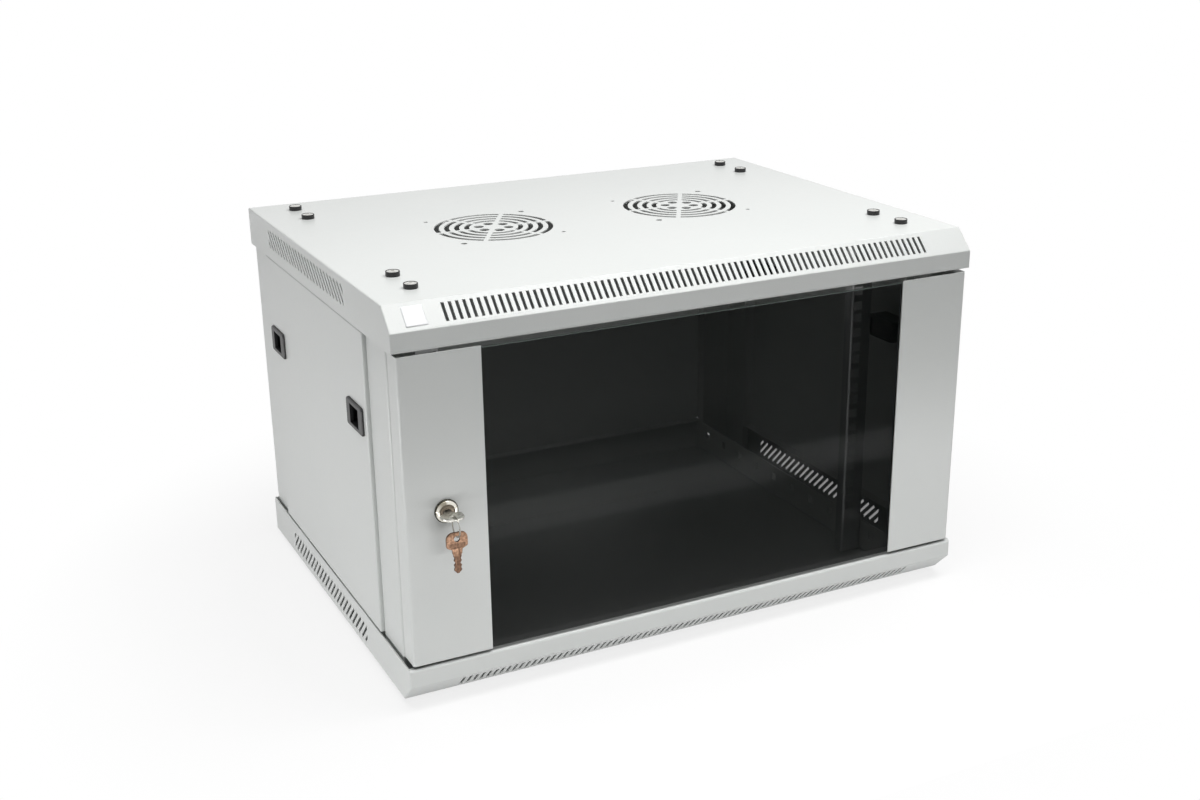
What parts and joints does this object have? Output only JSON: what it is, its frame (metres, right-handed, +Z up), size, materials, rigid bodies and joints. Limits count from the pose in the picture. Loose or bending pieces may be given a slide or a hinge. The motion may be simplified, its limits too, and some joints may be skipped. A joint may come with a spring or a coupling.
{
  "type": "wall mount network cabinet",
  "caption": "Wall mount 19-inch network cabinet with slotted covers, fan grilles on top, latched lift-off side panels and a tinted glass door with a cam lock.",
  "frame": {"origin": "centre of the four wall bolt holes on the wall plane, which is the outer face of the rear panel", "axes": "+X to the right as seen from the front, +Y into the wall, +Z up"},
  "size_m": [0.6038, 0.482, 0.38],
  "materials": {
    "cabinet_paint": "light grey fine-textured powder coat, semi-matt",
    "dark_bezel": "blackened nickel, knurled",
    "screw_nickel": "nickel plate",
    "cup_plastic": "black moulded nylon, semi-gloss",
    "zinc_steel": "bright zinc plate",
    "rubber": "matt black rubber",
    "foam_tape": "black double-sided foam tape",
    "latch_plastic": "black moulded nylon, fine texture",
    "tinted_glass": "dark grey tinted toughened glass, polished edges",
    "lock_nickel": "nickel-plated die casting",
    "key_steel": "nickel-plated, lightly worn",
    "key_brass": "warm copper-toned plate"
  },
  "bodies": {
    "cabinet": {"top_cover": "cabinet_paint", "base_cover": "cabinet_paint", "floor_entry_plate": "cabinet_paint", "top_cover_screws": "screw_nickel", "base_cover_screws": "screw_nickel", "top_cover_washers": "cup_plastic", "base_cover_washers": "cup_plastic", "front_post_left": "cabinet_paint", "front_post_right": "cabinet_paint", "rear_post_left": "cabinet_paint", "rear_post_right": "cabinet_paint", "upper_rail_left": "cabinet_paint", "upper_rail_right": "cabinet_paint", "lower_rail_left": "cabinet_paint", "lower_rail_right": "cabinet_paint", "rack_rail_left": "zinc_steel", "rack_rail_right": "zinc_steel", "rack_rail_bolts": "zinc_steel", "rack_rail_nuts": "zinc_steel", "rear_panel": "cabinet_paint", "door_buffers": "rubber", "hinge_bracket_top": "cabinet_paint", "hinge_bracket_bottom": "cabinet_paint", "hinge_pin_top": "zinc_steel", "hinge_pin_bottom": "zinc_steel", "hinge_washer": "latch_plastic"},
    "door": {"door_strip_left": "cabinet_paint", "door_strip_right": "cabinet_paint", "door_glass": "tinted_glass", "glass_tape_left": "foam_tape", "glass_tape_right": "foam_tape", "glass_clamp_left": "zinc_steel", "glass_clamp_right": "zinc_steel", "hinge_block_top": "cabinet_paint", "hinge_block_bottom": "cabinet_paint", "lock_bezel": "dark_bezel", "lock_body": "lock_nickel", "lock_nut": "zinc_steel"},
    "lock_plug": {"lock_plug": "lock_nickel", "lock_cam": "zinc_steel", "cam_screw": "zinc_steel", "lock_key": "key_steel"},
    "key_ring": {"key_ring": "key_steel"},
    "spare_key": {"spare_key": "key_brass"},
    "side_panel_left": {"side_panel_left": "cabinet_paint", "latch_housing_left_front": "latch_plastic", "latch_housing_left_rear": "latch_plastic"},
    "latch_slider_left_front": {"latch_slider_left_front": "latch_plastic"},
    "latch_slider_left_rear": {"latch_slider_left_rear": "latch_plastic"},
    "side_panel_right": {"side_panel_right": "cabinet_paint", "latch_housing_right_front": "latch_plastic", "latch_housing_right_rear": "latch_plastic"},
    "latch_slider_right_front": {"latch_slider_right_front": "latch_plastic"},
    "latch_slider_right_rear": {"latch_slider_right_rear": "latch_plastic"}
  },
  "joints": [
    {"name": "door_hinge", "type": "hinge", "parent": "cabinet", "child": "door", "pos_m": [0.291, -0.4375, 0], "axis": [0, 0, 1], "range_deg": [0, 180]},
    {"name": "lock_turn", "type": "hinge", "parent": "door", "child": "lock_plug", "pos_m": [-0.2583, -0.4538, 0], "axis": [0, 1, 0], "range_deg": [0, 90]},
    {"name": "key_ring_swing", "type": "hinge", "parent": "lock_plug", "child": "key_ring", "pos_m": [-0.2583, -0.4727, 0.001], "axis": [0, 1, 0], "range_deg": [-30, 30]},
    {"name": "spare_key_swing", "type": "hinge", "parent": "key_ring", "child": "spare_key", "pos_m": [-0.2583, -0.4727, -0.0153], "axis": [0, 1, 0], "range_deg": [-40, 40]},
    {"name": "side_panel_left_tilt", "type": "hinge", "parent": "cabinet", "child": "side_panel_left", "pos_m": [-0.2993, -0.21235, -0.1466], "axis": [0, -1, 0], "range_deg": [0, 15]},
    {"name": "latch_left_front_slide", "type": "slide", "parent": "side_panel_left", "child": "latch_slider_left_front", "axis": [0, -1, 0], "range_m": [0, 0.008]},
    {"name": "latch_left_rear_slide", "type": "slide", "parent": "side_panel_left", "child": "latch_slider_left_rear", "axis": [0, 1, 0], "range_m": [0, 0.008]},
    {"name": "side_panel_right_tilt", "type": "hinge", "parent": "cabinet", "child": "side_panel_right", "pos_m": [0.2993, -0.21235, -0.1466], "axis": [0, 1, 0], "range_deg": [0, 15]},
    {"name": "latch_right_front_slide", "type": "slide", "parent": "side_panel_right", "child": "latch_slider_right_front", "axis": [0, -1, 0], "range_m": [0, 0.008]},
    {"name": "latch_right_rear_slide", "type": "slide", "parent": "side_panel_right", "child": "latch_slider_right_rear", "axis": [0, 1, 0], "range_m": [0, 0.008]}
  ]
}
